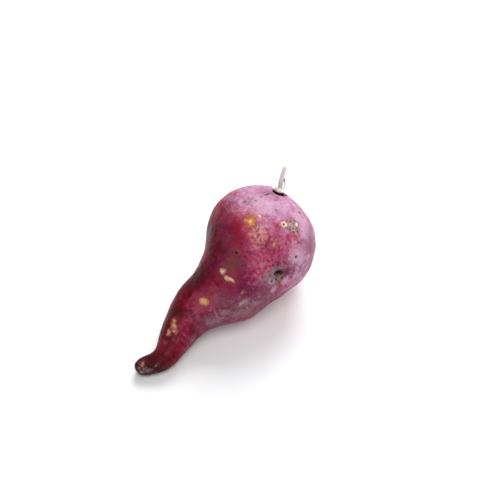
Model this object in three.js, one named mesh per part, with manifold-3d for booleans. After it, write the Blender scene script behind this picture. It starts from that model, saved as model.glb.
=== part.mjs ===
// A sweet potato as it comes out of the soil: one storage root with a round belly that narrows through a neck to a
// bent, blunt tail, and the dried stalk it hung from, still standing in its socket on top of the crown.
//
// Millimetres, +Z up. The root lies on its side along X, tail at -X and crown at +X, and rests on Z = 0 on a small
// flat under the belly and another under the tail. The origin is at the centre of the bounding box's base.

import * as THREE from "three";
import { mergeVertices } from "three/addons/utils/BufferGeometryUtils.js";
import Module from "manifold-3d";

const wasm = await Module();
wasm.setup();

// Cross-sections of the root, about 11 mm apart from tail to crown: where the centre lies, and how far the skin
// reaches from it sideways and upwards. The belly's lowest points lie just under Z = 0, where they are cut flat.
const ROOT_SECTIONS = [
  { at: [-86.5, -0.5, 5.7], wide: 6, tall: 5.7 },
  { at: [-79, -7.5, 6.2], wide: 6.8, tall: 6.4 },
  { at: [-68.5, -11.5, 8.6], wide: 8.6, tall: 8.2 },
  { at: [-57.5, -9, 11.5], wide: 11, tall: 10.4 },
  { at: [-47, -6.5, 14.5], wide: 13.2, tall: 12.8 },
  { at: [-36, -5.5, 18], wide: 15.8, tall: 15.4 },
  { at: [-25, -7.5, 22], wide: 19.2, tall: 19.2 },
  { at: [-14, -10.5, 26.5], wide: 24, tall: 24.4 },
  { at: [-3, -12, 31], wide: 29, tall: 29.8 },
  { at: [8, -11.5, 34.8], wide: 33.4, tall: 34.2 },
  { at: [19, -10, 37.2], wide: 37.2, tall: 37.8 },
  { at: [30, -8.5, 38], wide: 39.4, tall: 39.2 },
  { at: [41, -7.5, 38.4], wide: 39.6, tall: 39.6 },
  { at: [52, -6.5, 38.4], wide: 39.4, tall: 39.6 },
  { at: [63, -6, 38.4], wide: 39, tall: 39.4 },
  { at: [74, -6, 38.4], wide: 38.6, tall: 39 },
];
const ROOT_CAPS = { start: 0.045, end: 0.25 }; // shares of its length in which tail and crown round off
const ROOT_RINGS = { start: 5, middle: 28, end: 13 };
const ROOT_SIDES = 60;

// Swellings and hollows of the skin: where, how far they reach, and how far the skin moves out (+) or in (-).
const RELIEF = [
  { at: [-12, -37, 15], reach: 12, out: 3 }, // heel, where the belly turns into the neck
  { at: [20, -42, 19], reach: 12, out: 1.2 }, // fuller flank above the heel
  { at: [32, 27, 58], reach: 22, out: 3.5 }, // shoulder
  { at: [71, -16, 58], reach: 18, out: -3 }, // flattened crown, opposite the shoulder
  { at: [-2, 16, 46], reach: 16, out: -3 }, // waist above the neck
  { at: [-34, 8, 31], reach: 9, out: 2 }, // ridge along the neck
  { at: [2, -40, 48], reach: 7, out: -1.2 }, // eye
  { at: [48, 32, 24], reach: 17, out: 2.4 },
  { at: [68, 6, 22], reach: 13, out: -2 },
  { at: [16, 24, 20], reach: 14, out: -2.2 },
  { at: [-38, 10, 12], reach: 11, out: 1.4 },
  { at: [52, -44, 26], reach: 12, out: -1.6 },
];

const SOCKET = { at: [52.5, -6.5, 73.2], radius: 4.6, depth: 4.4, lip: 1.2 };
const STALK_LEAN = [0.47, 0.12, 0.875]; // the way the stalk and its socket point
const STALK_GAP = 0.5; // between the stalk's foot and the socket's floor

// Cross-sections of the stalk along its own +X, from the foot in the socket to the broken end.
const STALK_SECTIONS = [
  { at: [0, 0, 0], wide: 2.4, tall: 2.4 },
  { at: [2.8, 0, 0], wide: 2.9, tall: 2.8 },
  { at: [5.6, 0.1, 0], wide: 3, tall: 2.9 },
  { at: [8.4, 0.2, 0], wide: 2.2, tall: 2.1 },
  { at: [11.2, 0.3, 0], wide: 1.8, tall: 1.8 },
  { at: [14, 0.3, 0.1], wide: 1.7, tall: 1.6 },
  { at: [16.8, 0.1, 0.2], wide: 1.7, tall: 1.6 },
  { at: [19.6, -0.2, 0.4], wide: 1.6, tall: 1.5 },
  { at: [22.4, -0.6, 0.7], wide: 1.5, tall: 1.4 },
];
// A short side root that leaves the stalk just above the skin.
const SPUR_SECTIONS = [
  { at: [7.4, 0.3, 0.6], wide: 0.9, tall: 0.9 },
  { at: [6.9, 0.9, 2.2], wide: 0.8, tall: 0.8 },
  { at: [6.2, 1.7, 3.8], wide: 0.75, tall: 0.75 },
  { at: [5.4, 2.4, 5.2], wide: 0.5, tall: 0.5 },
];
const STALK_CAPS = { start: 0.08, end: 0.05 };
const STALK_RINGS = { start: 3, middle: 20, end: 2 };
const STALK_SIDES = 16;
const SPUR_CAPS = { start: 0.1, end: 0.08 };
const SPUR_RINGS = { start: 2, middle: 6, end: 2 };
const SPUR_SIDES = 8;

const vector = (xyz) => new THREE.Vector3(...xyz);

// A blank of unit radius turned about Y, from Y = 0 to Y = 1, whose two ends round off like quarter ellipses.
function turnedBlank(caps, rings, sides) {
  const profile = [];
  for (let i = 0; i < rings.start; i++) {
    const angle = (i / rings.start) * (Math.PI / 2);
    profile.push(new THREE.Vector2(Math.sin(angle), caps.start * (1 - Math.cos(angle))));
  }
  for (let i = 0; i <= rings.middle; i++) {
    profile.push(new THREE.Vector2(1, THREE.MathUtils.lerp(caps.start, 1 - caps.end, i / rings.middle)));
  }
  for (let i = rings.end - 1; i >= 0; i--) {
    const angle = (i / rings.end) * (Math.PI / 2);
    profile.push(new THREE.Vector2(Math.sin(angle), 1 - caps.end * (1 - Math.cos(angle))));
  }
  return new THREE.LatheGeometry(profile, sides);
}

// Bends a blank onto the centre line through the sections, and swells it to their sizes.
function grownAlong(sections, blank) {
  const centres = new THREE.CatmullRomCurve3(sections.map((s) => vector(s.at)));
  const sizes = new THREE.CatmullRomCurve3(sections.map((s) => new THREE.Vector3(s.wide, s.tall, 0)));
  const zenith = new THREE.Vector3(0, 0, 1);
  const [point, ahead, side, up, size] = Array.from({ length: 5 }, () => new THREE.Vector3());
  const position = blank.getAttribute("position");
  for (let i = 0; i < position.count; i++) {
    const along = THREE.MathUtils.clamp(position.getY(i), 0, 1);
    centres.getPoint(along, point);
    centres.getTangent(along, ahead);
    sizes.getPoint(along, size);
    side.crossVectors(ahead, zenith).normalize();
    up.crossVectors(side, ahead);
    point.addScaledVector(side, position.getX(i) * size.x);
    point.addScaledVector(up, position.getZ(i) * size.y);
    position.setXYZ(i, point.x, point.y, point.z);
  }
  return welded(blank);
}

// Moves the skin along its own normal around each place in the relief list, most at the middle.
function withRelief(skin, relief) {
  skin.computeVertexNormals();
  const position = skin.getAttribute("position");
  const normal = skin.getAttribute("normal");
  const point = new THREE.Vector3();
  const outward = new THREE.Vector3();
  for (let i = 0; i < position.count; i++) {
    point.fromBufferAttribute(position, i);
    outward.fromBufferAttribute(normal, i);
    let rise = 0;
    for (const { at, reach, out } of relief) {
      rise += out * Math.exp(-point.distanceToSquared(vector(at)) / reach ** 2);
    }
    point.addScaledVector(outward, rise);
    position.setXYZ(i, point.x, point.y, point.z);
  }
  return skin;
}

// The geometry with only its positions, and each shared vertex stored once.
function welded(geometry) {
  const bare = geometry.clone();
  bare.deleteAttribute("normal");
  bare.deleteAttribute("uv");
  return mergeVertices(bare, 1e-3);
}

function toSolid(geometry) {
  const shell = welded(geometry);
  const vertProperties = shell.attributes.position.array;
  const triVerts = new Uint32Array(shell.index.array);
  return new wasm.Manifold(new wasm.Mesh({ numProp: 3, vertProperties, triVerts }));
}

function toGeometry(solid) {
  const mesh = solid.getMesh();
  const geometry = new THREE.BufferGeometry();
  geometry.setAttribute("position", new THREE.BufferAttribute(mesh.vertProperties, 3));
  geometry.setIndex(new THREE.BufferAttribute(mesh.triVerts, 1));
  geometry.computeVertexNormals();
  return geometry;
}

// The turn that brings an axis onto the way the stalk leans.
function turnToLean(axis) {
  return new THREE.Quaternion().setFromUnitVectors(vector(axis), vector(STALK_LEAN).normalize());
}

// The cup that the stalk stands in, its mouth flaring up through the skin.
function socketCup() {
  const { radius, depth, lip } = SOCKET;
  const profile = [
    [0, -depth],
    [radius * 0.6, -depth * 0.95],
    [radius * 0.9, -depth * 0.6],
    [radius, 0],
    [radius + lip, depth],
    [0, depth],
  ];
  const cup = new THREE.LatheGeometry(profile.map((p) => new THREE.Vector2(...p)), 28);
  return cup.applyQuaternion(turnToLean([0, 1, 0])).translate(...SOCKET.at);
}

// What lies below the surface that the root rests on.
function underfloor() {
  const reach = 400;
  return new THREE.BoxGeometry(reach, reach, reach).translate(0, 0, -reach / 2);
}

function makeRoot() {
  const skin = grownAlong(ROOT_SECTIONS, turnedBlank(ROOT_CAPS, ROOT_RINGS, ROOT_SIDES));
  const grown = toSolid(withRelief(skin, RELIEF));
  const rested = grown.subtract(toSolid(underfloor())).subtract(toSolid(socketCup()));
  const material = new THREE.MeshStandardMaterial({ color: 0x8a2f55, roughness: 0.5, metalness: 0 });
  const root = new THREE.Mesh(toGeometry(rested), material);
  root.name = "storage_root";
  return root;
}

function makeStalk() {
  const stem = grownAlong(STALK_SECTIONS, turnedBlank(STALK_CAPS, STALK_RINGS, STALK_SIDES));
  const spur = grownAlong(SPUR_SECTIONS, turnedBlank(SPUR_CAPS, SPUR_RINGS, SPUR_SIDES));
  const material = new THREE.MeshStandardMaterial({ color: 0xd9cbb4, roughness: 0.8, metalness: 0 });
  const stalk = new THREE.Mesh(toGeometry(toSolid(stem).add(toSolid(spur))), material);
  const foot = vector(STALK_LEAN).normalize().multiplyScalar(STALK_GAP - SOCKET.depth);
  stalk.position.copy(vector(SOCKET.at).add(foot));
  stalk.quaternion.copy(turnToLean([1, 0, 0]));
  stalk.name = "stalk";
  return stalk;
}

const sweetPotato = new THREE.Group();
sweetPotato.add(makeRoot(), makeStalk());

const box = new THREE.Box3().setFromObject(sweetPotato, true);
const middle = box.getCenter(new THREE.Vector3());
sweetPotato.position.set(-middle.x, -middle.y, -box.min.z);

export default sweetPotato;
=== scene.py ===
import math
import random

import bpy
import numpy as np
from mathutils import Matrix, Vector, noise


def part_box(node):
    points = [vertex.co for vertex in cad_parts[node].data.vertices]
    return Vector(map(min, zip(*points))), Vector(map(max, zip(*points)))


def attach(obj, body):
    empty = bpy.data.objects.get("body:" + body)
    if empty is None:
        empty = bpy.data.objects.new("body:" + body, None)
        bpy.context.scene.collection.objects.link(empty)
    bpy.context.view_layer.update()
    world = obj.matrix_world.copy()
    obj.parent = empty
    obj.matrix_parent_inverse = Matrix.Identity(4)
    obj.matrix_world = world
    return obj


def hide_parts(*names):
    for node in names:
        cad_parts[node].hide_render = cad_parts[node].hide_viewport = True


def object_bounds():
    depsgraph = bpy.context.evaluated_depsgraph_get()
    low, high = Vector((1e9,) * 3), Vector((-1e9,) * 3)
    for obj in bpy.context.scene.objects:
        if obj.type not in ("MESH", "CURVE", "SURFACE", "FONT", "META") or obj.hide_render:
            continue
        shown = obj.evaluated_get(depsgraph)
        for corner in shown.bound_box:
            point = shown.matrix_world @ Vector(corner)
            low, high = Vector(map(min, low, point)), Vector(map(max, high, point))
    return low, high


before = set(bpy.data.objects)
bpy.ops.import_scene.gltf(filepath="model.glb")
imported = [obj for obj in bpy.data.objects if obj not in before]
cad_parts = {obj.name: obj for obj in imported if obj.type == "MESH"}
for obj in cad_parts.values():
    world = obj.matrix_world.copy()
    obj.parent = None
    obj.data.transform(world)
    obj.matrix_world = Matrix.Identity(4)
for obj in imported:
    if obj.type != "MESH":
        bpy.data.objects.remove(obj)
cad_low, cad_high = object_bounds()

# Blender's lengths are metres. The marks on the skin are sized in millimetres, and MM turns those into
# metres. A place on the skin is (along, around): along runs from the tail's tip, 0, to the crown's end, 1,
# and around is the angle in degrees from the top, positive towards -Y, the side that the camera sees.
MM = 0.001
ROOT_LOW, ROOT_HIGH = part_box("storage_root")
UP = np.array([0.0, 0.0, 1.0])


def placed(name, data):
    """A new object made from this data, in the scene."""
    item = bpy.data.objects.new(name, data)
    bpy.context.scene.collection.objects.link(item)
    return item


# -------- camera, floor and light

CAMERA = {"azimuth": -48, "elevation": 45, "distance": 0.48, "lens": 50}
AIM = (0.7, 0.65, 0.42)  # the point the camera looks at, in shares of the CAD model's box


def add_camera():
    """Looks down on the root from the side of its tail."""
    aim = Vector([low + share * (high - low) for low, high, share in zip(cad_low, cad_high, AIM)])
    azimuth = math.radians(CAMERA["azimuth"])
    elevation = math.radians(CAMERA["elevation"])
    flat = math.cos(elevation)
    back = Vector((math.sin(azimuth) * flat, -math.cos(azimuth) * flat, math.sin(elevation)))
    data = bpy.data.cameras.new("camera")
    data.lens = CAMERA["lens"]
    camera = placed("camera", data)
    camera.location = aim + back * CAMERA["distance"]
    camera.rotation_mode = "QUATERNION"
    camera.rotation_quaternion = (-back).to_track_quat("-Z", "Y")
    bpy.context.scene.camera = camera


def add_floor():
    """A plain pale floor that the root lies on."""
    half = 30.0
    gap = 0.1 * MM
    mesh = bpy.data.meshes.new("floor")
    corners = [(-half, -half, -gap), (half, -half, -gap), (half, half, -gap), (-half, half, -gap)]
    mesh.from_pydata(corners, [], [(0, 1, 2, 3)])
    floor = placed("floor", mesh)
    g = Graph("floor")
    g.shade("Base Color", (0.94, 0.94, 0.94))
    g.shade("Roughness", 0.8)
    mesh.materials.append(g.material)


def add_area_light(name, place, size, watts, tint=(1, 1, 1)):
    """A square soft box at a place round the root, turned to face it."""
    data = bpy.data.lights.new(name, "AREA")
    data.shape = "SQUARE"
    data.size = size
    data.energy = watts
    data.color = tint
    light = placed(name, data)
    light.location = Vector(place)
    light.rotation_mode = "QUATERNION"
    light.rotation_quaternion = Vector(place).to_track_quat("Z", "Y")


def add_lights():
    """A wide cool window behind and above the root, a smaller one at its side, and a weak fill all round."""
    add_area_light("window", place=(0.84, 0.46, 0.94), size=0.85, watts=18, tint=(0.95, 0.97, 1.0))
    add_area_light("side_window", place=(0.95, -0.62, 0.42), size=0.55, watts=4, tint=(0.95, 0.97, 1.0))
    add_area_light("ceiling", place=(-0.3, -0.5, 1.3), size=0.9, watts=9)
    world = bpy.data.worlds.new("studio")
    world.use_nodes = True
    background = world.node_tree.nodes["Background"]
    background.inputs["Color"].default_value = (1, 1, 1, 1)
    background.inputs["Strength"].default_value = 0.27
    bpy.context.scene.world = world
    bpy.context.scene.view_settings.view_transform = "Standard"


# -------- mesh tools

def copy_of(node, name):
    """A new object with a copy of a CAD node's mesh."""
    piece = placed(name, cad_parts[node].data.copy())
    piece.data.materials.clear()
    return piece


def applied(piece, kind, **settings):
    """Makes one modifier's result the piece's own mesh."""
    modifier = piece.modifiers.new(kind, kind)
    for name, value in settings.items():
        setattr(modifier, name, value)
    shaped = piece.evaluated_get(bpy.context.evaluated_depsgraph_get())
    before = piece.data
    piece.data = bpy.data.meshes.new_from_object(shaped)
    piece.data.name = piece.name
    piece.modifiers.clear()
    bpy.data.meshes.remove(before)


def points_of(piece):
    points = np.empty(len(piece.data.vertices) * 3, np.float32)
    piece.data.vertices.foreach_get("co", points)
    return points.reshape(-1, 3).astype(float)


def normals_of(piece):
    normals = np.empty(len(piece.data.vertices) * 3, np.float32)
    piece.data.vertex_normals.foreach_get("vector", normals)
    return normals.reshape(-1, 3).astype(float)


def move_points(piece, points):
    piece.data.vertices.foreach_set("co", points.astype(np.float32).ravel())
    piece.data.update()


def store(piece, name, amount):
    """Keeps a value for each point on the mesh, for the material to read."""
    attribute = piece.data.attributes.new(name, "FLOAT", "POINT")
    attribute.data.foreach_set("value", amount.astype(np.float32))


def smooth_evenly(piece, rounds):
    """Taubin's smoothing: each round pulls every point towards its neighbours, then pushes it back more."""
    edges = np.empty(len(piece.data.edges) * 2, np.int32)
    piece.data.edges.foreach_get("vertices", edges)
    first, second = edges.reshape(-1, 2).T
    points = points_of(piece)
    count = np.bincount(edges, minlength=len(points))[:, None]
    for _ in range(rounds):
        for share in (0.5, -0.53):
            total = np.zeros_like(points)
            for axis in range(3):
                total[:, axis] += np.bincount(first, points[second, axis], len(points))
                total[:, axis] += np.bincount(second, points[first, axis], len(points))
            points += share * (total / count - points)
    move_points(piece, points)


def soft_noise(points, size, seed, octaves=1, smoothness=1.0):
    """Smooth noise between about -1 and 1, in blobs of this size in millimetres, different for each seed."""
    shift = Vector((seed * 7.31, seed * 3.17, seed * 5.53))
    scaled = points / (size * MM)
    return np.array([noise.fractal(Vector(point) + shift, smoothness, 2.0, octaves) for point in scaled])


def step(value, start, end):
    """0 before start, 1 after end, and smooth between them. end may be the lower one."""
    share = np.clip((value - start) / (end - start), 0, 1)
    return share * share * (3 - 2 * share)


def hump(value, middle, width):
    """1 at the middle, falling to 0 on both sides of it."""
    return np.exp(-((value - middle) / width) ** 2)


def finish_piece(piece, material):
    """Smooth shading, its material and the body it rides on."""
    for polygon in piece.data.polygons:
        polygon.use_smooth = True
    piece.data.materials.append(material)
    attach(piece, "root")


# -------- where the stalk stands

STALK_SUNK = 4  # millimetres of the stalk that stand below the skin


def stalk_line():
    """The point on the stalk's axis where it comes out of the skin, and the way the stalk leans."""
    points = points_of(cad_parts["stalk"])
    middle = points.mean(0)
    lean = np.linalg.svd(points - middle)[2][0]
    lean *= np.sign(lean[2])
    reach = (points - middle) @ lean
    return middle + lean * (reach.min() + STALK_SUNK * MM), lean


STALK_FOOT, STALK_LEAN = stalk_line()


def round_stalk(points, centre=STALK_FOOT):
    """Each point's height along the stalk's axis, its distance from the axis, and its direction from it."""
    offset = points - centre
    height = offset @ STALK_LEAN
    beside = offset - np.outer(height, STALK_LEAN)
    far = np.linalg.norm(beside, axis=1)
    return height / MM, far / MM, beside / np.maximum(far, 1e-9)[:, None]


# -------- the skin's shape

class Skin:
    """The points of the storage root's skin, where each is on the root, and the marks made on it so far."""

    def __init__(self, piece):
        self.piece = piece
        self.points = points_of(piece)
        self.normals = normals_of(piece)
        self.rise = np.zeros(len(self.points))
        self.masks = {}
        self.seed = 0
        length = ROOT_HIGH.x - ROOT_LOW.x
        self.along = (self.points[:, 0] - ROOT_LOW.x) / length
        stations = np.linspace(0.03, 0.97, 48)
        middles = [self._middle(ROOT_LOW.x + share * length) for share in stations]
        middle_y = np.interp(self.along, stations, [m[0] for m in middles])
        middle_z = np.interp(self.along, stations, [m[1] for m in middles])
        self.around = np.degrees(np.arctan2(middle_y - self.points[:, 1], self.points[:, 2] - middle_z))

    def _middle(self, x):
        near = self.points[np.abs(self.points[:, 0] - x) < 3 * MM]
        return (near[:, 1:].min(0) + near[:, 1:].max(0)) / 2

    def at(self, place):
        """The index of the point nearest to a place on the skin."""
        along, around = place
        turn = (self.around - around + 180) % 360 - 180
        return int(np.argmin((self.along - along) ** 2 + (np.radians(turn) * 0.2) ** 2))

    def local(self, place, turn=0):
        """Each point's position round a place on the skin, in millimetres: u towards the crown and v round
        the root, both turned by turn degrees. Points far away or facing away are put out of reach."""
        here = self.at(place)
        out = self.normals[here]
        ahead = np.array([1.0, 0.0, 0.0])
        ahead -= out * (ahead @ out)
        ahead /= np.linalg.norm(ahead)
        beside = np.cross(out, ahead)
        angle = math.radians(turn)
        offset = (self.points - self.points[here]) / MM
        u = offset @ (ahead * math.cos(angle) + beside * math.sin(angle))
        v = offset @ (beside * math.cos(angle) - ahead * math.sin(angle))
        hidden = (self.normals @ out < 0.1) | (np.linalg.norm(offset, axis=1) > 30)
        u[hidden] = v[hidden] = 1000
        return u, v

    def blob(self, place, radius, stretch=1.0, turn=0, wobble=0.3):
        """Each point's distance from a place, in units of the blob's uneven radius."""
        u, v = self.local(place, turn)
        return self.wobbled(np.hypot(u / (radius * stretch), v / radius), radius * 0.9, wobble)

    def zone(self, place, radius, wobble=0.35):
        """As blob, for a wide zone that may reach round the root."""
        far = np.linalg.norm(self.points - self.points[self.at(place)], axis=1) / (radius * MM)
        return self.wobbled(far, radius * 0.5, wobble)

    def wobbled(self, far, size, wobble):
        """Distances made uneven near the place, a different way for each mark."""
        self.seed += 1
        near = far < 2.6
        if wobble and near.any():
            uneven = soft_noise(self.points[near], size=size, seed=self.seed, octaves=3, smoothness=0.8)
            far[near] += wobble * uneven
        return np.maximum(far, 0)

    def rough(self, near, size):
        """Noise on the points that near picks, and 0 elsewhere."""
        self.seed += 1
        result = np.zeros(len(self.points))
        result[near] = soft_noise(self.points[near], size=size, seed=self.seed, octaves=2)
        return result

    def paint(self, name, amount):
        """Lays a mark over the ones of its kind: the stronger one shows."""
        old = self.masks.get(name, np.zeros(len(self.points)))
        self.masks[name] = np.maximum(old, np.clip(amount, 0, 1))

    def raise_by(self, millimetres):
        self.rise += millimetres * MM

    def commit(self):
        """Moves the skin out along its normals, keeps it off the floor, and stores the masks on the mesh."""
        points = self.points + self.normals * self.rise[:, None]
        points[:, 2] = np.maximum(points[:, 2], 0)
        move_points(self.piece, points)
        for name, amount in self.masks.items():
            store(self.piece, name, amount)


SOCKET_RADIUS = 4.6  # millimetres, as is all that follows about the skin
SOCKET_DEPTH = 5.6
SOCKET_CENTRE = STALK_FOOT + np.array([-0.8, -1.7, 0.0]) * MM
SOCKET_CURL = np.array([0.25, -0.92, -0.3])  # from the stalk towards the part of the lip that curls up
COARSE_VOXEL = 2.2  # of the mesh that is smoothed first
FINE_VOXEL = 0.655  # of the mesh that takes the marks


def heal_socket(piece):
    """Closes the CAD's socket with the curve of the skin round it, so that a finer one can be sunk there."""
    points = points_of(piece)
    height, far, beside = round_stalk(points)
    across = np.cross(STALK_LEAN, UP)
    across /= np.linalg.norm(across)
    u = far * (beside @ across)
    v = far * (beside @ np.cross(across, STALK_LEAN))
    ring = (far > 8) & (far < 17) & (height > -9)
    inside = (far < 9) & (height > -9)

    def terms(chosen):
        a, b = u[chosen], v[chosen]
        return np.column_stack([np.ones_like(a), a, b, a * a, a * b, b * b])

    shape = np.linalg.lstsq(terms(ring), height[ring], rcond=None)[0]
    points[inside] += np.outer(terms(inside) @ shape - height[inside], STALK_LEAN) * MM
    move_points(piece, points)


def sink_socket(piece):
    """The hole that the stalk stands in, with an uneven edge and a lip that curls up on one side."""
    points = points_of(piece)
    height, far, beside = round_stalk(points, SOCKET_CENTRE)
    near = (far < 14) & (height > -6)
    uneven = np.zeros(len(far))
    uneven[near] = soft_noise(points[near], size=3, seed=5, octaves=2)
    edge = far + 0.5 * uneven
    curl = step(beside @ SOCKET_CURL, 0.86, 0.97)
    hole = step(edge, SOCKET_RADIUS + 0.1, SOCKET_RADIUS - 0.6)
    lip = hump(edge, SOCKET_RADIUS + 0.9, 0.9) * (0.25 + 1.2 * curl)
    points += np.outer((lip - SOCKET_DEPTH * hole) * near, STALK_LEAN) * MM
    move_points(piece, points)


def grow_uneven(piece):
    """The slow swells and hollows that no grown root is without."""
    points, normals = points_of(piece), normals_of(piece)
    along = (points[:, 0] - ROOT_LOW.x) / (ROOT_HIGH.x - ROOT_LOW.x)
    swell = 0.6 * soft_noise(points, size=21, seed=1, octaves=2)
    swell += 0.3 * soft_noise(points * np.array([0.35, 1.0, 1.0]), size=7, seed=2, octaves=2)
    points += normals * (swell * step(along, 0.0, 0.15) * MM)[:, None]
    move_points(piece, points)


def smooth_body(name):
    """The storage root without facets: an even mesh of the CAD solid, smoothed and divided, and a socket."""
    piece = copy_of("storage_root", name)
    applied(piece, "REMESH", mode="VOXEL", voxel_size=COARSE_VOXEL * MM)
    heal_socket(piece)
    smooth_evenly(piece, rounds=10)
    applied(piece, "SUBSURF", levels=2)
    grow_uneven(piece)
    sink_socket(piece)
    applied(piece, "REMESH", mode="VOXEL", voxel_size=FINE_VOXEL * MM)
    smooth_evenly(piece, rounds=3)
    return piece


# -------- marks on the skin

def fade(far):
    """1 at a blob's middle, a half on its edge, 0 at twice its radius."""
    return np.clip(1 - far / 2, 0, 1)


def pit(skin, place, radius, depth, stretch=1.0, turn=0, halo=0.0):
    """A sunken eye with a soft lip, dark at the bottom, and ashen skin round it."""
    far = skin.blob(place, radius, stretch, turn, wobble=0.35)
    skin.raise_by(depth * (0.2 * hump(far, 1.8, 0.5) - np.exp(-1.3 * far ** 2)))
    skin.paint("dark", fade(far))
    if halo:
        skin.paint("ash", 0.9 * fade(skin.blob(place, radius * halo, 1.1, turn, wobble=0.5)))


def cork(skin, place, radius, stretch=1.0, turn=0, lift=0.25, strength=1.0):
    """A healed scar: a pale, slightly raised corky plate with a rough top and a brown edge."""
    far = skin.blob(place, radius, stretch, turn, wobble=0.25)
    plate = step(far, 1.2, 0.7)
    skin.raise_by(plate * (lift + 0.14 * skin.rough(far < 1.6, 0.9)) - 0.1 * hump(far, 1.35, 0.25))
    skin.paint("cork", strength * fade(far))


def scrape(skin, place, radius, stretch=1.0, turn=0, strength=1.0, depth=0.25):
    """A place where the skin is rubbed off and the orange flesh shows through."""
    far = skin.blob(place, radius, stretch, turn, wobble=0.3)
    skin.raise_by(-step(far, 1.4, 0.4) * depth * (1 + 0.6 * skin.rough(far < 1.8, 1.1)))
    skin.paint("flesh", strength * fade(far))


def worn(skin, place, radius, strength=1.0, stretch=1.0, turn=0):
    """A thin place in the skin, with soft edges, where the flesh glows through."""
    skin.paint("worn", strength * fade(skin.blob(place, radius, stretch, turn, wobble=0.25)))


def crackle(skin, place, radius, stretch=1.0, turn=0, strength=1.0):
    """A rough patch of old bark, criss-crossed by fine dark cracks."""
    far = skin.blob(place, radius, stretch, turn, wobble=0.35)
    skin.raise_by(step(far, 1.4, 0.6) * 0.28 * strength * skin.rough(far < 1.8, 0.9))
    skin.paint("bark", strength * fade(far))


def dot(skin, place, radius, depth=0.3, strength=0.9):
    """A lenticel: a tiny dark dent, a little wider round the root than along it."""
    far = skin.blob(place, radius, stretch=1.3, turn=90, wobble=0.25)
    skin.raise_by(depth * (0.3 * hump(far, 2.0, 0.5) - np.exp(-far ** 2)))
    skin.paint("dark", strength * fade(far))


def ring(skin, place, radius, width, mask, lift, strength):
    """A round scar whose edge stands up."""
    far = skin.blob(place, radius, wobble=0.25)
    band = hump((far - 1) * radius, 0, width)
    skin.raise_by(lift * band)
    skin.paint(mask, strength * band)


def patch(skin, mask, place, radius, strength=1.0, stretch=1.0, turn=0):
    """A stain or a dusting that changes only the colour."""
    skin.paint(mask, strength * fade(skin.blob(place, radius, stretch, turn, wobble=0.6)))


def dent(skin, place, radius, depth):
    """A shallow hollow, or with a negative depth a swelling."""
    skin.raise_by(-depth * np.exp(-skin.zone(place, radius, wobble=0.15) ** 2))


LEVEL = -45  # the turn of a mark that runs level in the camera's view of the crown


def mark_scrape(skin):
    """An orange scrape with a small pale flake beside it, and scratched, granular skin below."""
    scrape(skin, (0.642, 8), radius=2.7, stretch=1.5, turn=LEVEL + 80, strength=0.82)
    worn(skin, (0.634, 3), radius=3.4, strength=0.8)
    worn(skin, (0.65, 2), radius=2.6, strength=0.3)
    patch(skin, "rust", (0.64, 4), radius=4.6, strength=0.8, stretch=1.3, turn=LEVEL + 80)
    cork(skin, (0.681, 12), radius=0.75, stretch=2.4, turn=LEVEL + 130)
    patch(skin, "rose", (0.622, 19), radius=7.5, stretch=1.3, turn=LEVEL + 100)
    patch(skin, "pale", (0.62, 22), radius=4.8, stretch=1.4, turn=LEVEL + 90)
    crackle(skin, (0.636, 16), radius=1.2, stretch=2.2, turn=LEVEL, strength=0.65)
    crackle(skin, (0.624, 19), radius=0.9, stretch=2.6, turn=LEVEL + 50, strength=0.55)
    patch(skin, "pale", (0.606, 20), radius=2.4, stretch=1.4, turn=LEVEL + 90)
    dot(skin, (0.595, 24), radius=0.7, depth=0.25, strength=0.6)


def mark_shoulder(skin):
    """A twin scar, and a faint pinkish curl with dull skin below it."""
    cork(skin, (0.733, 34), radius=1.8, stretch=1.3, turn=LEVEL, lift=0.3, strength=1.2)
    dot(skin, (0.733, 34), radius=0.75, depth=0.5, strength=1.0)
    crackle(skin, (0.764, 40), radius=3.8, stretch=1.25, turn=LEVEL - 25)
    cork(skin, (0.788, 42), radius=0.9, stretch=1.7, turn=LEVEL + 60, lift=0.3, strength=1.2)
    ring(skin, (0.652, 41), radius=2.6, width=0.9, mask="rose", lift=0.12, strength=0.75)
    patch(skin, "pale", (0.655, 42), radius=3.4, strength=0.6, stretch=1.4, turn=LEVEL)
    crackle(skin, (0.66, 39), radius=1.0, stretch=2.0, turn=LEVEL + 60, strength=0.7)
    patch(skin, "ash", (0.63, 42), radius=3.2, strength=0.7)


def mark_crown(skin):
    """Cracked, dusty skin beside the stalk, pale streaks that are partly dust and partly painted sheen, and
    ashen, finely flecked skin at the edge.
    """
    crackle(skin, (0.717, -10), radius=1.5, stretch=2.8, turn=LEVEL, strength=0.72)
    patch(skin, "halo", (0.717, -8), radius=2.6, strength=0.7, stretch=2.2, turn=LEVEL)
    # Partly painted sheen: pale streaks and an arc across the crown beside the stalk.
    patch(skin, "dust_and_sheen", (0.722, -4), radius=2.4, strength=0.9, stretch=2.6, turn=LEVEL)
    patch(skin, "dust_and_sheen", (0.7, -18), radius=2.2, strength=0.7, stretch=3.0, turn=LEVEL)
    patch(skin, "dust_and_sheen", (0.678, -6), radius=3.0, strength=0.9, stretch=2.2, turn=LEVEL)
    patch(skin, "pale", (0.664, 6), radius=2.0, strength=0.9, stretch=1.6, turn=LEVEL)
    patch(skin, "dust_and_sheen", (0.728, 9), radius=2.4, strength=0.9, stretch=3.4, turn=LEVEL)
    patch(skin, "rust", (0.638, -46), radius=2.4, strength=0.9, stretch=2.2, turn=LEVEL + 85)
    for place in ((0.85, 30), (0.868, 48), (0.835, 50), (0.88, 15)):
        patch(skin, "dust_and_sheen", place, radius=4.0, strength=0.6)
        patch(skin, "grain", place, radius=6.0, strength=0.8)
    patch(skin, "halo", (0.843, 41), radius=3.6, strength=0.5)
    for place in ((0.753, 18), (0.846, 35), (0.8, 8), (0.69, 50), (0.905, 40)):
        dot(skin, place, radius=0.75, strength=0.75)


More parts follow.
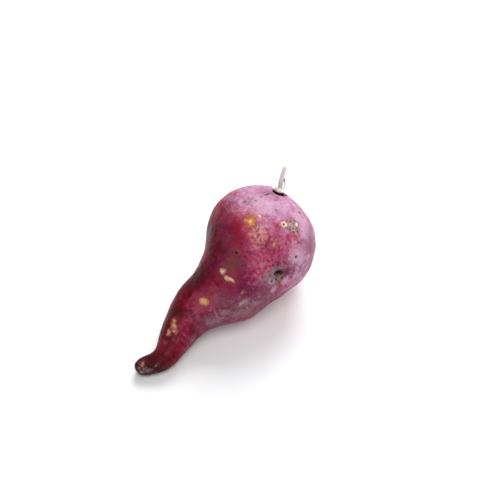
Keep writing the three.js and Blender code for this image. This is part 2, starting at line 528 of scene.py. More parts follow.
def mark_waist(skin):
    """A small hole with a dull patch below it, and pale scars, one of them drawn out into a tail."""
    pit(skin, (0.513, 10), radius=0.9, depth=1.1, halo=3.0)
    patch(skin, "ash", (0.486, 11), radius=6.0, strength=0.76, stretch=1.3)
    patch(skin, "ash", (0.455, 6), radius=4.0, strength=0.45)
    cork(skin, (0.442, 10), radius=2.2, stretch=1.1, lift=0.35, strength=0.8)
    cork(skin, (0.436, 23), radius=1.6, stretch=1.8, turn=LEVEL - 40, lift=0.3, strength=0.8)
    cork(skin, (0.443, 30), radius=1.1, stretch=2.6, turn=LEVEL - 25, strength=0.85)
    patch(skin, "rust", (0.45, 12), radius=3.6, strength=0.9, stretch=1.3)
    patch(skin, "rust", (0.434, 25), radius=3.4, strength=0.8, stretch=2.0, turn=LEVEL - 30)


def mark_flank_eye(skin):
    """The big sunken eye, with a ring scar below it."""
    dent(skin, (0.612, 74), radius=9, depth=1.5)
    patch(skin, "halo", (0.592, 73), radius=5.6, strength=1.2, stretch=1.2)
    patch(skin, "halo", (0.586, 78), radius=3.6)
    pit(skin, (0.618, 75), radius=2.1, depth=2.2, stretch=1.7, turn=-22)
    for place, strength in (((0.6, 73), 0.9), ((0.597, 80), 0.9), ((0.64, 72), 0.5), ((0.646, 79), 0.45),
                            ((0.622, 82), 0.9)):
        dot(skin, place, radius=0.8, depth=0.5, strength=strength)
    crackle(skin, (0.612, 77), radius=3.6, stretch=1.6, turn=-22, strength=0.62)
    ring(skin, (0.575, 77), radius=1.9, width=0.6, mask="dust_and_sheen", lift=0.4, strength=1.0)
    dot(skin, (0.575, 77), radius=0.7, depth=0.5, strength=0.7)


def mark_flank(skin):
    """Whitish dust, rings and specks low on the flank, and a dull streak opposite."""
    patch(skin, "dust_and_sheen", (0.725, 67), radius=6.0, strength=1.3)
    patch(skin, "dust_and_sheen", (0.8, 50), radius=5.0, strength=1.2)
    patch(skin, "halo", (0.654, -18), radius=4.5, strength=0.5, stretch=1.8, turn=LEVEL)
    dot(skin, (0.707, 68), radius=0.9)
    patch(skin, "dust_and_sheen", (0.576, 90), radius=2.2, strength=1.4)
    patch(skin, "dust_and_sheen", (0.645, 88), radius=3.4)
    ring(skin, (0.7, 82), radius=1.6, width=0.6, mask="dust_and_sheen", lift=0.15, strength=0.8)
    ring(skin, (0.66, 96), radius=1.8, width=0.6, mask="dust_and_sheen", lift=0.15, strength=0.7)
    for place in ((0.742, 84), (0.716, 92), (0.69, 88), (0.765, 90), (0.735, 100), (0.668, 104),
                  (0.78, 78)):
        patch(skin, "dust_and_sheen", place, radius=1.1, strength=1.5, stretch=1.6, turn=30)
    for place in ((0.546, 59), (0.56, 45), (0.6, 52), (0.62, 30), (0.72, 92), (0.64, 98), (0.57, 95)):
        patch(skin, "grain", place, radius=7.0)


def mark_heel(skin):
    """Dull, dusty skin where the belly turns into the neck, with faint scars."""
    patch(skin, "ash", (0.431, 79), radius=5.0, strength=0.9, stretch=1.4)
    for place in ((0.452, 78), (0.428, 90), (0.492, 94), (0.382, 76)):
        patch(skin, "halo", place, radius=2.6, strength=0.75, stretch=1.5, turn=20)
    for place in ((0.405, 97), (0.352, 66), (0.47, 88), (0.365, 92)):
        patch(skin, "dust_and_sheen", place, radius=1.8, strength=0.55, stretch=2.0, turn=20)
    for place in ((0.46, 86), (0.41, 84), (0.36, 80), (0.51, 96)):
        patch(skin, "grain", place, radius=9.0, strength=0.75)
    patch(skin, "halo", (0.341, 89), radius=4.5, strength=0.75, stretch=1.3)
    patch(skin, "halo", (0.45, 102), radius=5.0, strength=0.7, stretch=1.3)
    patch(skin, "ash", (0.535, 94), radius=6.5, strength=0.7, stretch=1.3)
    patch(skin, "ash", (0.4, 62), radius=4.5, strength=0.7)
    patch(skin, "pale", (0.456, 57), radius=1.3, strength=0.6, stretch=1.8, turn=20)
    patch(skin, "dust_and_sheen", (0.437, 76), radius=1.6, strength=0.85, stretch=1.9, turn=30)
    patch(skin, "halo", (0.597, 107), radius=2.4, strength=0.9)
    dot(skin, (0.597, 107), radius=0.8)
    dot(skin, (0.587, 50), radius=0.7, strength=0.75)
    for place in ((0.56, 30), (0.6, 60), (0.48, 55)):
        dot(skin, place, radius=0.6, depth=0.25, strength=0.7)


def mark_neck(skin):
    """Worn spots in a pinkish field, and a run of pinkish and orange scars towards the tail."""
    worn(skin, (0.339, 28), radius=3.0, strength=1.05, stretch=1.3, turn=LEVEL)
    patch(skin, "rose", (0.342, 31), radius=7.5, strength=0.95)
    worn(skin, (0.384, 21), radius=1.8, strength=0.5)
    worn(skin, (0.352, 24), radius=3.8, strength=0.55)
    patch(skin, "rose", (0.384, 21), radius=3.5, strength=0.7)
    worn(skin, (0.224, -5), radius=1.7, strength=0.85, stretch=1.3, turn=70)
    worn(skin, (0.21, 3), radius=1.7, strength=0.9, stretch=1.9, turn=70)
    patch(skin, "pale", (0.203, 7), radius=1.4, stretch=2.2, turn=70)
    patch(skin, "pale", (0.178, -6), radius=1.4, strength=1.1, stretch=1.3, turn=30)
    patch(skin, "halo", (0.146, -3), radius=2.2, strength=0.5)
    dot(skin, (0.254, 71), radius=0.9, depth=0.5)
    dot(skin, (0.129, 53), radius=0.7, strength=0.7)
    dot(skin, (0.146, -9), radius=0.7, strength=0.6)


def mark_tail(skin):
    """The blunt tail's cracked end, with pale flecks and dull and rusty patches."""
    patch(skin, "pale", (0.024, -4), radius=1.5, strength=0.75, stretch=1.5, turn=60)
    crackle(skin, (0.008, 22), radius=2.0, stretch=1.7, turn=80, strength=0.6)
    patch(skin, "halo", (0.03, 62), radius=2.6, strength=0.6, stretch=1.4)
    patch(skin, "halo", (0.012, 38), radius=2.2, strength=0.6, stretch=1.4)
    patch(skin, "pale", (0.062, 52), radius=1.3, strength=0.6, stretch=1.5)
    patch(skin, "rust", (0.028, -8), radius=2.6, strength=0.6)


HIDDEN_MARKS = 20


def mark_hidden_side(skin):
    """The same kinds of marks on the side and the belly that face away from the camera."""
    draw = random.Random(7)
    for index in range(HIDDEN_MARKS):
        along = 0.14 + 0.8 * (index + 0.7 * draw.random()) / HIDDEN_MARKS
        place = (along, draw.uniform(128, 300))
        kind = draw.choice(("pit", "pit", "cork", "scrape", "crackle", "ash", "dust_and_sheen", "pale"))
        turn = draw.uniform(-60, 60)
        if kind == "pit":
            radius = draw.uniform(0.8, 1.8)
            stretch = draw.uniform(1, 1.9)
            pit(skin, place, radius=radius, depth=radius * 0.9, stretch=stretch, turn=turn, halo=3.0)
        elif kind == "cork":
            radius = draw.uniform(1.0, 2.0)
            stretch = draw.uniform(1, 2)
            cork(skin, place, radius=radius, stretch=stretch, turn=turn)
        elif kind == "scrape":
            radius = draw.uniform(1.6, 3.2)
            stretch = draw.uniform(1, 1.6)
            scrape(skin, place, radius=radius, stretch=stretch, turn=turn, strength=0.9)
        elif kind == "crackle":
            radius = draw.uniform(1.4, 3.2)
            stretch = draw.uniform(1, 2.6)
            crackle(skin, place, radius=radius, stretch=stretch, turn=turn, strength=0.85)
        else:
            patch(skin, kind, place, radius=draw.uniform(4, 8), strength=0.9, stretch=1.3, turn=turn)


def mark_crown_end(skin):
    """The end that faces away: shallow furrows that run out from its middle, eyes and scars between them."""
    for around, depth in ((126, 0.7), (178, 0.9), (236, 0.7), (-62, 0.5)):
        turn = (skin.around - around + 180) % 360 - 180
        furrow = -depth * hump(turn, 0, 9)
        skin.raise_by(furrow * step(skin.along, 0.66, 0.84) * step(skin.along, 0.998, 0.96))
    pit(skin, (0.95, 152), radius=1.7, depth=1.5, stretch=1.5, turn=30, halo=3.0)
    pit(skin, (0.905, 112), radius=1.1, depth=0.9, stretch=1.2, halo=3.0)
    pit(skin, (0.88, 218), radius=1.4, depth=1.2, stretch=1.6, turn=-20, halo=3.0)
    cork(skin, (0.932, 205), radius=2.0, stretch=1.4, turn=40)
    cork(skin, (0.972, 96), radius=1.4, stretch=1.8, turn=-30)
    crackle(skin, (0.962, 250), radius=2.8, stretch=1.5, turn=20, strength=0.9)
    crackle(skin, (0.88, 165), radius=1.8, stretch=2.4, turn=70, strength=0.8)
    scrape(skin, (0.905, -88), radius=2.2, stretch=1.4, turn=30, strength=0.85)
    for place in ((0.93, 130), (0.86, 190), (0.975, 200), (0.84, 110), (0.9, -70)):
        patch(skin, "grain", place, radius=10.0, strength=0.9)
    for place in ((0.955, 120), (0.9, 240), (0.85, 140), (0.8, 105)):
        patch(skin, "dust_and_sheen", place, radius=6.0, strength=0.9)
    for place in ((0.97, 165), (0.87, 125), (0.82, 228)):
        patch(skin, "ash", place, radius=5.0, strength=0.7)


LENTICELS = 60


def scatter_lenticels(skin):
    """Tiny breathing pores all over."""
    draw = random.Random(3)
    for _ in range(LENTICELS):
        place = (draw.uniform(0.1, 0.96), draw.uniform(-180, 180))
        radius = draw.uniform(0.35, 0.6)
        depth = draw.uniform(0.1, 0.25)
        dot(skin, place, radius=radius, depth=depth, strength=draw.uniform(0.35, 0.65))


def wrinkle(skin):
    """Fine creases: round the stalk on the crown, with painted highlight on their ridges and painted shade in
    their hollows, lengthwise on the back and the tail, a grain all over.
    """
    points = skin.points
    height, far, beside = round_stalk(points)
    circles = np.column_stack([far, 9 * beside[:, 0], 9 * beside[:, 1]]) * MM
    rings = soft_noise(circles, size=2.2, seed=60, octaves=2)
    crown = step(far, 40, 12) * step(far, 4, 8) * (height > -30)
    skin.raise_by(0.13 * rings * crown)
    # Painted highlight and shade: the colour follows the ring creases, lighter on their ridges and darker in
    # their hollows.
    skin.paint("crease_light_and_shade", 0.5 + 0.5 * rings * crown)
    lengthwise = soft_noise(points * np.array([0.14, 1.0, 1.0]), size=2.4, seed=61, octaves=2)
    back = step(skin.along, 0.25, 0.5) * step(skin.around, 10, -35)
    tail = step(skin.along, 0.18, 0.03)
    skin.raise_by(lengthwise * (0.12 * back + 0.28 * tail))
    crosswise = np.abs(soft_noise(points * np.array([3.0, 1.0, 1.0]), size=6, seed=62, octaves=2))
    skin.raise_by(-0.14 * step(crosswise, 0.12, 0.0) * (0.3 + 0.7 * tail))
    skin.raise_by(0.05 * soft_noise(points, size=1.8, seed=63, octaves=2))


ZONES = {
    # the wide changes of colour: each patch's place, radius in millimetres and strength
    # A lilac bloom, partly painted sheen on the crown, the right flank and the lower right side of the neck
    "bloom_and_sheen": (
        ((0.715, 58), 9, 0.5), ((0.723, 86), 11, 0.75), ((0.56, 48), 8, 0.3), ((0.533, -10), 5, 0.3),
        ((0.225, 92), 8, 0.35), ((0.54, 62), 7, 0.3), ((0.64, 92), 8, 0.6), ((0.47, 150), 16, 0.6),
        ((0.6, 215), 15, 0.6), ((0.33, 230), 10, 0.5), ((0.64, -108), 12, 0.7),
    ),
    "crimson": (
        ((0.595, -1), 12, 0.8), ((0.6, 12), 9, 0.7), ((0.384, -1), 13, 1.0), ((0.223, 45), 12, 1.0),
        ((0.62, 190), 14, 0.9), ((0.72, 130), 11, 0.8), ((0.3, 160), 12, 0.9),
        ((0.965, 175), 15, 0.9), ((0.93, 110), 10, 0.8),
    ),
    "rose": (
        ((0.682, 33), 9, 0.7), ((0.724, 14), 6, 0.5), ((0.593, 36), 8, 0.6), ((0.377, 29), 7, 0.5),
        ((0.56, 24), 9, 0.4), ((0.555, 47), 9, 1.0), ((0.69, 52), 9, 1.0), ((0.369, 34), 6, 0.8),
        ((0.632, 55), 6, 0.8), ((0.318, 30), 7, 0.8), ((0.24, 21), 7, 0.5), ((0.5, 240), 12, 0.7),
        ((0.66, 160), 10, 0.7),
    ),
    # Purple mottling; the zones at (0.56, -20) and (0.48, -28) are painted shade on the left flank.
    "purple_and_shade": (
        ((0.655, 66), 10, 1.2), ((0.69, 74), 7, 0.9), ((0.812, 70), 7, 0.6),
        ((0.497, 62), 11, 1.0), ((0.57, 86), 7, 0.8), ((0.514, 38), 9, 0.8), ((0.444, -7), 8, 0.6),
        ((0.56, -20), 9, 0.7), ((0.48, -28), 11, 0.5), ((0.43, 50), 8, 0.6), ((0.25, 60), 8, 0.6),
        ((0.22, 82), 9, 0.9),
        ((0.55, 120), 13, 0.8), ((0.42, 200), 12, 0.8), ((0.75, 240), 13, 0.8), ((0.48, -80), 13, 0.9),
        ((0.93, 240), 14, 1.0), ((0.95, 130), 9, 0.8),
    ),
    # Dull mauve patches; the zones at along 0.8 to 0.9, around 52 to 88, are painted shade along the crown's
    # right edge.
    "mauve_and_shade": (
        ((0.334, 85), 10, 0.9), ((0.376, 52), 9, 0.8), ((0.41, 93), 11, 0.9), ((0.488, 101), 13, 0.9),
        ((0.545, 78), 8, 0.7), ((0.292, 45), 6, 0.6), ((0.53, 100), 10, 1.0), ((0.47, 20), 7, 0.6),
        ((0.9, 52), 12, 0.6), ((0.8, 88), 11, 0.6), ((0.87, 75), 12, 0.55),
        ((0.808, 71), 8, 0.8), ((0.845, 40), 5, 0.4), ((0.816, -3), 8, 0.75), ((0.613, -16), 7, 0.5),
        ((0.648, -23), 7, 0.5), ((0.65, 175), 14, 0.7), ((0.36, 120), 12, 0.8),
        ((0.56, -95), 14, 0.9), ((0.42, 228), 12, 0.8), ((0.3, -80), 9, 0.7),
    ),
    # Painted shade: the neck's deep red laid over the left side of the belly.
    "neck_red_and_shade": (
        ((0.59, -50), 13, 1.0), ((0.52, -50), 12, 1.0), ((0.51, -30), 9, 0.7),
    ),
    # Painted shade: brown laid over the left side of the belly and of the neck.
    "tail": (
        ((0.49, -18), 14, 0.7), ((0.475, 8), 9, 0.5), ((0.555, -41), 12, 0.65), ((0.4, -42), 11, 0.9),
        ((0.245, -22), 7, 0.8), ((0.183, -26), 6, 0.6), ((0.3, -45), 8, 0.5), ((0.2, -50), 7, 0.5),
        ((0.42, -24), 8, 0.8),
    ),
    # Painted highlight: pale lilac over the top of the crown.
    "dust_and_sheen": (
        ((0.732, 4), 9, 1.2), ((0.705, -14), 8, 0.6), ((0.79, -25), 10, 0.5), ((0.805, 42), 9, 1.0),
        ((0.796, 22), 8, 0.7),
    ),
}


def stain(skin):
    """The wide, slow changes of colour: a lilac bloom on the crown that is partly painted sheen, a deep red
    neck, a brown tail, painted shade on the left side and on the crown's right edge, and painted shade in the
    stalk's socket.
    """
    for mask, zones in ZONES.items():
        for place, radius, strength in zones:
            skin.paint(mask, strength * fade(skin.zone(place, radius)))
    uneven = soft_noise(skin.points, size=9, seed=70, octaves=3)
    skin.paint("tail", step(skin.along + 0.03 * uneven, 0.18, 0.04))
    skin.paint("neck_red_and_shade", step(skin.along + 0.07 * uneven, 0.5, 0.3))
    # Painted sheen: the lilac zone over the crown's end stands partly for a broad reflection of light, and it
    # fades again towards the very end.
    start = 0.66 + 0.065 * hump(skin.around, 46, 30) + 0.13 * hump(skin.around, -62, 30)
    broad = soft_noise(skin.points, size=19, seed=71, octaves=2)
    edge = skin.along + 0.04 * uneven + 0.05 * broad - start
    fades_at_end = step(skin.along + 0.03 * broad, 0.86, 0.99) * (0.6 + 0.3 * broad)
    skin.paint("bloom_and_sheen", step(edge, -0.12, 0.15) * (1 - fades_at_end))
    skin.paint("rose", 0.8 * hump(skin.along + 0.04 * uneven - start, 0.0, 0.05) * hump(skin.around, 25, 50))
    height, far, beside = round_stalk(skin.points, SOCKET_CENTRE)
    over = height > -8
    # Painted shade: the socket's hole is darkened all over.
    skin.paint("dark", step(far, SOCKET_RADIUS + 0.7, SOCKET_RADIUS - 0.7) * over)
    skin.paint("halo", 0.5 * step(far + 2 * uneven, 9, 4) * over)
    curl = step(beside @ SOCKET_CURL, 0.86, 0.95)
    skin.paint("ash", 1.2 * curl * hump(far, SOCKET_RADIUS + 0.7, 0.9) * over)


# every mask that the skin's material reads
MASKS = ("bloom_and_sheen", "crimson", "rose", "purple_and_shade", "mauve_and_shade", "neck_red_and_shade", "tail", "crease_light_and_shade", "grain", "dust_and_sheen", "ash",
         "halo", "rust", "pale", "worn", "bark", "flesh", "cork", "dark")

MARKS = (
    mark_scrape, mark_shoulder, mark_crown, mark_waist, mark_flank_eye, mark_flank, mark_heel, mark_neck,
    mark_tail, mark_hidden_side, mark_crown_end, scatter_lenticels, wrinkle, stain,
)


def make_root():
    """The storage root: its smooth body first, then the marks, on an even fine mesh."""
    piece = smooth_body("sweet_potato")
    skin = Skin(piece)
    for mark in MARKS:
        mark(skin)
    for name in MASKS:
        skin.paint(name, np.zeros(len(skin.points)))
    skin.commit()
    finish_piece(piece, skin_material())
    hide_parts("storage_root")
    return skin


# -------- materials

class Graph:
    """Short ways to add the nodes of one material. Sizes are in millimetres."""

    def __init__(self, name):
        self.material = bpy.data.materials.new(name)
        self.material.use_nodes = True
        self.nodes, self.links = self.material.node_tree.nodes, self.material.node_tree.links
        self.shader = self.nodes["Principled BSDF"]
        self.place = self.nodes.new("ShaderNodeTexCoord").outputs["Object"]

    def link(self, source, target):
        if isinstance(source, (int, float)):
            target.default_value = source
        elif isinstance(source, tuple):
            target.default_value = (*source, 1)
        else:
            self.links.new(source, target)

    def shade(self, name, value):
        """Gives one of the shader's inputs its value."""
        self.link(value, self.shader.inputs[name])

    def mask(self, name):
        node = self.nodes.new("ShaderNodeAttribute")
        node.attribute_name = name
        return node.outputs["Fac"]

    def noise(self, size, detail=3.0, roughness=0.5, stretch=None, distortion=0.0):
        """Noise between 0 and 1 in blobs of this size."""
        node = self.nodes.new("ShaderNodeTexNoise")
        node.inputs["Scale"].default_value = 1 / (size * MM)
        node.inputs["Detail"].default_value = detail
        node.inputs["Roughness"].default_value = roughness
        node.inputs["Distortion"].default_value = distortion
        self.link(self.stretched(stretch) if stretch else self.place, node.inputs["Vector"])
        return node.outputs["Fac"]

    def stretched(self, stretch):
        node = self.nodes.new("ShaderNodeMapping")
        node.inputs["Scale"].default_value = stretch
        self.links.new(self.place, node.inputs["Vector"])
        return node.outputs["Vector"]

    def math(self, operation, first, second=0.0, third=0.0):
        node = self.nodes.new("ShaderNodeMath")
        node.operation = operation
        for value, socket in zip((first, second, third), node.inputs):
            self.link(value, socket)
        return node.outputs["Value"]

    def times(self, first, second):
        return self.math("MULTIPLY", first, second)

    def spread(self, noise, amount):
        """A noise shifted to lie round 0, times an amount."""
        return self.math("MULTIPLY_ADD", noise, amount, -0.5 * amount)

    def ramp(self, value, start, end, low=0.0, high=1.0):
        """low before start, high after end, smooth between."""
        node = self.nodes.new("ShaderNodeMapRange")
        node.interpolation_type = "SMOOTHSTEP"
        for name, setting in (("From Min", start), ("From Max", end), ("To Min", low), ("To Max", high)):
            node.inputs[name].default_value = setting
        self.link(value, node.inputs["Value"])
        return node.outputs["Result"]

    def mix(self, share, first, second, mode="MIX"):
        node = self.nodes.new("ShaderNodeMix")
        node.data_type = "RGBA"
        node.blend_type = mode
        self.link(share, node.inputs[0])
        self.link(first, node.inputs[6])
        self.link(second, node.inputs[7])
        return node.outputs[2]

    def bump(self, height, distance, below=None):
        node = self.nodes.new("ShaderNodeBump")
        node.inputs["Distance"].default_value = distance * MM
        self.link(height, node.inputs["Height"])
        if below:
            self.links.new(below, node.inputs["Normal"])
        return node.outputs["Normal"]


def linear(share):
    """One channel of a screen colour, 0 to 1, as the linear value that a shader takes."""
    return ((share + 0.055) / 1.055) ** 2.4 if share > 0.04 else share / 12.92


def srgb(red, painted_shade, blue):
    """A screen colour, 0 to 255 each, as a shader's colour."""
    return tuple(linear(channel / 255) for channel in (red, painted_shade, blue))


CRIMSON = srgb(150, 24, 52)
MAGENTA = srgb(150, 38, 80)
SCARLET = srgb(140, 12, 42)
ROSE = srgb(184, 70, 102)
PURPLE = srgb(110, 20, 62)
MAROON = srgb(100, 4, 20)
WINE = srgb(128, 14, 52)
DUSKY = srgb(146, 78, 116)
DEEP_LILAC = srgb(182, 126, 160)
LILAC = srgb(192, 144, 174)
PALE_LILAC = srgb(212, 172, 194)
DARK_SPECK = srgb(62, 24, 42)
MAUVE = srgb(130, 72, 92)
ASH = srgb(112, 74, 72)
HALO = srgb(148, 118, 126)
CREAM = srgb(242, 218, 202)
PEACH = srgb(206, 144, 130)
HONEY = srgb(230, 172, 126)
PALE_ORANGE = srgb(236, 194, 130)
ORANGE = srgb(214, 142, 76)
RUST = srgb(140, 62, 40)
TAN = srgb(190, 160, 142)
CRACK = srgb(70, 46, 42)
SHADE_AND_DARK_SPOT = srgb(48, 24, 22)
TAIL_BROWN_AND_SHADE = srgb(56, 12, 16)

STALK_CREAM = srgb(255, 242, 240)
STALK_PINK = srgb(250, 224, 220)
STALK_SHADE_GREY = srgb(232, 232, 218)
STALK_SHADE_GREEN = srgb(196, 196, 180)
KNOB_CREAM = srgb(255, 250, 238)
KNOB_SAND = srgb(246, 222, 200)
TORN_BROWN = srgb(120, 96, 80)
THREAD_GREY = srgb(112, 96, 88)
THREAD_BROWN = srgb(74, 56, 58)


class SkinGraph(Graph):
    """The skin's material: its noises, and the two ways that a mask shows on it."""

    def __init__(self):
        super().__init__("skin")
        self.broad = self.noise(24)
        self.blotch = self.noise(7, detail=4.0, roughness=0.6)
        self.cloud = self.noise(3.2, detail=4.0, roughness=0.62)
        self.granules = self.noise(2.4, roughness=0.65)
        self.fine = self.noise(1.4, roughness=0.6)
        self.grain = self.noise(0.6, detail=2.0, roughness=0.6)

    def tone(self, mask, start, end, most=1.0, ragged=0.9):
        """How much of a paint shows: none where the mask, made ragged, is below start, and most above end."""
        edge = self.math("ADD", self.mask(mask), self.spread(self.fine, ragged))
        return self.ramp(edge, start, end, high=most)

    def zone(self, mask, start, end, most=1.0):
        """As tone, with the softer edge of a change of colour."""
        edge = self.math("ADD", self.mask(mask), self.spread(self.cloud, 1.0))
        return self.ramp(self.math("ADD", edge, self.spread(self.fine, 0.4)), start, end, high=most)


def skin_ground(g):
    """Mottled purple-red, with a deep red neck, painted shade on the left flank and the crown's right edge,
    and a streaked lilac bloom on the crown that is partly painted sheen.
    """
    colour = g.mix(g.ramp(g.broad, 0.42, 0.58), CRIMSON, MAGENTA)
    colour = g.mix(g.ramp(g.blotch, 0.48, 0.62, high=0.85), colour, PURPLE)
    colour = g.mix(g.ramp(g.cloud, 0.52, 0.66, high=0.7), colour, ROSE)
    colour = g.mix(g.zone("crimson", 0.15, 0.65, most=0.85), colour, SCARLET)
    # Purple mottling, and in a few zones painted shade on the left flank.
    colour = g.mix(g.zone("purple_and_shade", 0.2, 0.7, most=0.85), colour, PURPLE)
    deep = g.mix(g.ramp(g.blotch, 0.42, 0.62), MAROON, WINE)
    # The deep red neck, and the same deep red as painted shade on the belly's left side.
    colour = g.mix(g.zone("neck_red_and_shade", 0.25, 0.8), colour, deep)
    colour = g.mix(g.zone("rose", 0.2, 0.8, most=0.8), colour, ROSE)
    # The bloom's colour, partly painted sheen, with painted highlight and shade along the crown's creases.
    bloom_and_sheen_colour = g.mix(g.ramp(g.mask("crease_light_and_shade"), 0.35, 0.65), DEEP_LILAC, LILAC)
    bloom_and_sheen_colour = g.mix(g.ramp(g.blotch, 0.5, 0.36, high=0.6), bloom_and_sheen_colour, DUSKY)
    bloom_and_sheen_colour = g.mix(g.ramp(g.cloud, 0.52, 0.66, high=0.6), bloom_and_sheen_colour, PALE_LILAC)
    colour = g.mix(g.zone("bloom_and_sheen", 0.1, 0.95, most=0.88), colour, bloom_and_sheen_colour)
    # Dull mauve laid over the bloom, and painted shade on the crown's right edge.
    return g.mix(g.zone("mauve_and_shade", 0.15, 0.85, most=0.8), colour, MAUVE)


def skin_stains(g, colour):
    """The ground with its granules and specks, a brown tail with brown painted shade on the left side, and
    rusty, ashen, dull and dusty patches, the dusty ones partly painted highlight on the crown.
    """
    speckle = g.ramp(g.mask("grain"), 0.0, 0.8, low=0.06, high=0.9)
    colour = g.mix(g.times(g.ramp(g.granules, 0.5, 0.68, high=0.6), speckle), colour, DEEP_LILAC)
    colour = g.mix(g.times(g.ramp(g.granules, 0.48, 0.34, high=0.7), speckle), colour, PURPLE)
    colour = g.mix(g.ramp(g.grain, 0.62, 0.76, high=0.35), colour, DARK_SPECK)
    # The brown tail, and brown painted shade on the left side of the belly and the neck.
    colour = g.mix(g.zone("tail", 0.1, 0.95, most=0.9), colour, TAIL_BROWN_AND_SHADE)
    colour = g.mix(g.tone("rust", 0.1, 0.95, most=0.75, ragged=0.7), colour, RUST)
    colour = g.mix(g.tone("ash", 0.2, 0.95, most=0.75, ragged=1.2), colour, ASH)
    colour = g.mix(g.tone("halo", 0.2, 0.8, most=0.85, ragged=0.8), colour, HALO)
    # Dust, and painted highlight on the crown's top and in streaks across it.
    return g.mix(g.tone("dust_and_sheen", 0.25, 1.0, most=0.6, ragged=1.6), colour, PALE_LILAC)


def skin_scars(g, colour):
    """What breaks the skin: pale flecks, worn spots, cracked bark, bare flesh, cork, dark eyes and dots, and
    painted shade in the stalk's socket.
    """
    ripples = g.spread(g.noise(1.7, detail=2.0, roughness=0.6), 1.0)
    cracks = g.ramp(g.math("ABSOLUTE", ripples), 0.03, 0.09, low=1.0, high=0.0)
    cracks = g.times(cracks, g.ramp(g.cloud, 0.4, 0.54, low=0.25))
    broken = g.ramp(g.granules, 0.36, 0.58, low=0.15, high=0.95)
    colour = g.mix(g.times(g.tone("pale", 0.15, 0.75, most=0.9, ragged=0.8), broken), colour, PEACH)
    colour = g.mix(g.tone("worn", 0.15, 0.6, most=0.6, ragged=0.4), colour, RUST)
    colour = g.mix(g.tone("worn", 0.4, 0.95, most=0.9, ragged=0.3), colour, HONEY)
    colour = g.mix(g.tone("bark", 0.32, 0.62, most=0.8), colour, TAN)
    colour = g.mix(g.times(g.tone("bark", 0.2, 0.42, most=0.95), cracks), colour, CRACK)
    colour = g.mix(g.tone("flesh", 0.05, 0.5, most=0.75, ragged=0.8), colour, RUST)
    colour = g.mix(g.tone("flesh", 0.3, 0.7, most=0.95), colour, ORANGE)
    colour = g.mix(g.tone("flesh", 0.58, 1.0, most=0.95), colour, PALE_ORANGE)
    rim = g.times(g.tone("cork", 0.26, 0.44, most=0.8), g.ramp(g.cloud, 0.42, 0.58))
    colour = g.mix(rim, colour, CRACK)
    colour = g.mix(g.tone("cork", 0.32, 0.56, most=0.95, ragged=0.6), colour, PEACH)
    colour = g.mix(g.tone("cork", 0.48, 0.88, most=0.95, ragged=0.6), colour, CREAM)
    # Dark eyes and dots, and painted shade in the stalk's socket.
    colour = g.mix(g.tone("dark", 0.15, 0.65, most=0.75), colour, CRACK)
    return g.mix(g.tone("dark", 0.5, 0.75, ragged=0.5), colour, SHADE_AND_DARK_SPOT)


def skin_material():
    """Satin skin, duller where it is scarred or dusty, and finely creased."""
    g = SkinGraph()
    g.shade("Base Color", skin_scars(g, skin_stains(g, skin_ground(g))))
    dry = g.mask("cork")
    for name in ("bark", "dark", "ash", "halo", "dust_and_sheen"):
        dry = g.math("MAXIMUM", dry, g.mask(name))
    rough = g.math("ADD", g.ramp(g.blotch, 0.3, 0.7, low=0.38, high=0.5), g.times(dry, 0.35))
    g.shade("Roughness", g.math("MULTIPLY_ADD", g.mask("bloom_and_sheen"), 0.06, rough))
    g.shade("Specular IOR Level", 0.12)
    creases = g.noise(3.0, detail=4.0, roughness=0.6, stretch=(2.2, 1.0, 1.0))
    g.shade("Normal", g.bump(g.grain, 0.05, g.bump(g.fine, 0.1, g.bump(creases, 0.25))))
    return g.material


def stalk_material():
    """Dried fibre: a cream knob at the foot, above it a grey-green band of painted shade, then pinkish cream
    up to the broken end.
    """
    g = Graph("stalk")
    streaks = g.noise(1.0, roughness=0.6, stretch=(1.6, 1.6, 0.3))
    fine = g.noise(0.5, roughness=0.6)
    height = g.math("ADD", g.mask("height"), g.spread(streaks, 0.25))
    colour = g.mix(g.ramp(streaks, 0.38, 0.64), STALK_CREAM, STALK_PINK)
    # Painted shade: a grey-green band on the lower shaft, above the knob.
    painted_shade = g.times(g.ramp(height, 0.22, 0.32), g.ramp(height, 0.62, 0.4))
    colour = g.mix(painted_shade, colour, g.mix(g.ramp(fine, 0.4, 0.6), STALK_SHADE_GREY, STALK_SHADE_GREEN))
    knob = g.ramp(height, 0.26, 0.18)
    colour = g.mix(knob, colour, g.mix(g.ramp(fine, 0.45, 0.7), KNOB_CREAM, KNOB_SAND))
    colour = g.mix(g.ramp(g.mask("torn"), 0.3, 0.8, high=0.8), colour, TORN_BROWN)
    g.shade("Base Color", colour)
    g.shade("Roughness", 0.75)
    g.shade("Specular IOR Level", 0.3)
    g.shade("Normal", g.bump(fine, 0.1, g.bump(streaks, 0.25)))
    return g.material


def thread_material():
    """Thin dry root fibre, greyish brown."""
    g = Graph("thread")
    streaks = g.noise(0.8, roughness=0.6)
    colour = g.mix(g.ramp(streaks, 0.4, 0.6), THREAD_GREY, THREAD_BROWN)
    g.shade("Base Color", colour)
    g.shade("Roughness", 0.8)
    g.shade("Normal", g.bump(streaks, 0.15))
    return g.material


# -------- the stalk and its fibres

STALK_VOXEL = 0.17


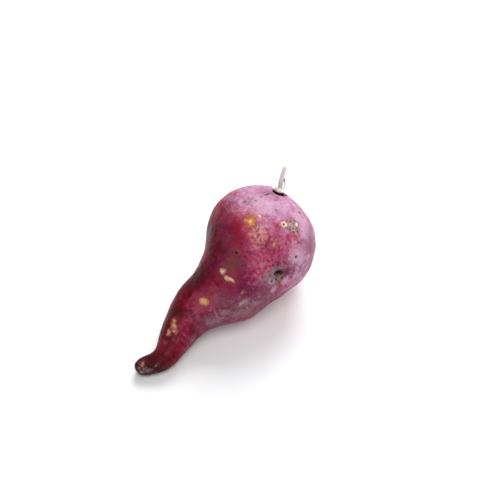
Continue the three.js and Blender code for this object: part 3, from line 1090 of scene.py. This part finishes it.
def make_stalk():
    """The dried stalk: lengthwise fibres, a swollen knob in the socket with a torn edge, a broken end."""
    piece = copy_of("stalk", "dried_stalk")
    applied(piece, "REMESH", mode="VOXEL", voxel_size=STALK_VOXEL * MM)
    smooth_evenly(piece, rounds=6)
    points, normals = points_of(piece), normals_of(piece)
    height, far, beside = round_stalk(points)
    drawn_out = points - np.outer(0.85 * height, STALK_LEAN) * MM
    fibres = soft_noise(drawn_out, size=0.9, seed=80, octaves=2)
    lumps = soft_noise(points, size=1.6, seed=81, octaves=2)
    knob = step(height + 0.8 * lumps, 2.8, 1.6)
    torn = hump(height + 0.8 * lumps, 2.9, 0.5) * step(fibres, 0.0, 0.35)
    rise = 0.16 * fibres * (1 - 0.7 * knob) + 0.3 * lumps * knob - 0.12 * torn
    rise += 0.6 * hump(height, 0.5, 1.3) - 0.9 * hump(height, 3.4, 1.4) - 2.2 * step(height, -0.5, -1.8)
    top = height.max()
    points += normals * (rise * MM)[:, None]
    points += np.outer(step(height, top - 1.2, top) * 0.7 * np.minimum(fibres, 0), STALK_LEAN) * MM
    move_points(piece, points)
    store(piece, "height", (height + STALK_SUNK) / (top + STALK_SUNK))
    store(piece, "torn", torn)
    finish_piece(piece, stalk_material())
    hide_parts("stalk")


def make_thread(name, route, thickness):
    """A thin fibre along a route of points in metres, drawn out to a fine end."""
    curve = bpy.data.curves.new(name, "CURVE")
    curve.dimensions = "3D"
    curve.bevel_depth = thickness / 2 * MM
    curve.bevel_resolution = 3
    curve.resolution_u = 8
    curve.use_fill_caps = True
    spline = curve.splines.new("NURBS")
    spline.points.add(len(route) - 1)
    spline.order_u = 4
    spline.use_endpoint_u = True
    for index, (point, place) in enumerate(zip(spline.points, route)):
        point.co = (*place, 1)
        point.radius = 1 - 0.55 * index / (len(route) - 1)
    shaped = placed(name, curve)
    mesh = bpy.data.meshes.new_from_object(shaped.evaluated_get(bpy.context.evaluated_depsgraph_get()))
    bpy.data.objects.remove(shaped)
    piece = placed(name, mesh)
    finish_piece(piece, thread_material())


PEELING_FIBRE = (
    # height along the stalk, and distance from its axis to the camera's right and towards the camera
    (9.2, 1.6, 0.4), (7.8, 2.2, 0.7), (5.8, 3.3, 0.9), (3.8, 3.8, 0.7), (2.0, 3.6, 0.4), (0.6, 2.9, 0.2),
)


def make_peeling_fibre():
    """A fibre that has come away from the stalk and bows out beside it, its route in millimetres."""
    azimuth = math.radians(CAMERA["azimuth"])
    right = np.array([math.cos(azimuth), math.sin(azimuth), 0])
    towards = np.cross(right, STALK_LEAN)
    route = []
    for height, side, front in PEELING_FIBRE:
        route.append(STALK_FOOT + (height * STALK_LEAN + side * right + front * towards) * MM)
    make_thread("peeling_fibre", route, thickness=0.9)


HAIR_ROOT = ((0.845, -3.5), (0.834, -2), (0.821, -3), (0.806, -2), (0.792, -3))  # places on the skin


def make_hair_root(skin):
    """A hair root that starts beside the stalk and lies on the skin."""
    places = [skin.at(place) for place in HAIR_ROOT]
    route = [skin.points[index] + 0.25 * MM * skin.normals[index] for index in places]
    make_thread("hair_root", route, thickness=1.2)


add_camera()
add_floor()
add_lights()
root_skin = make_root()
make_stalk()
make_peeling_fibre()
make_hair_root(root_skin)
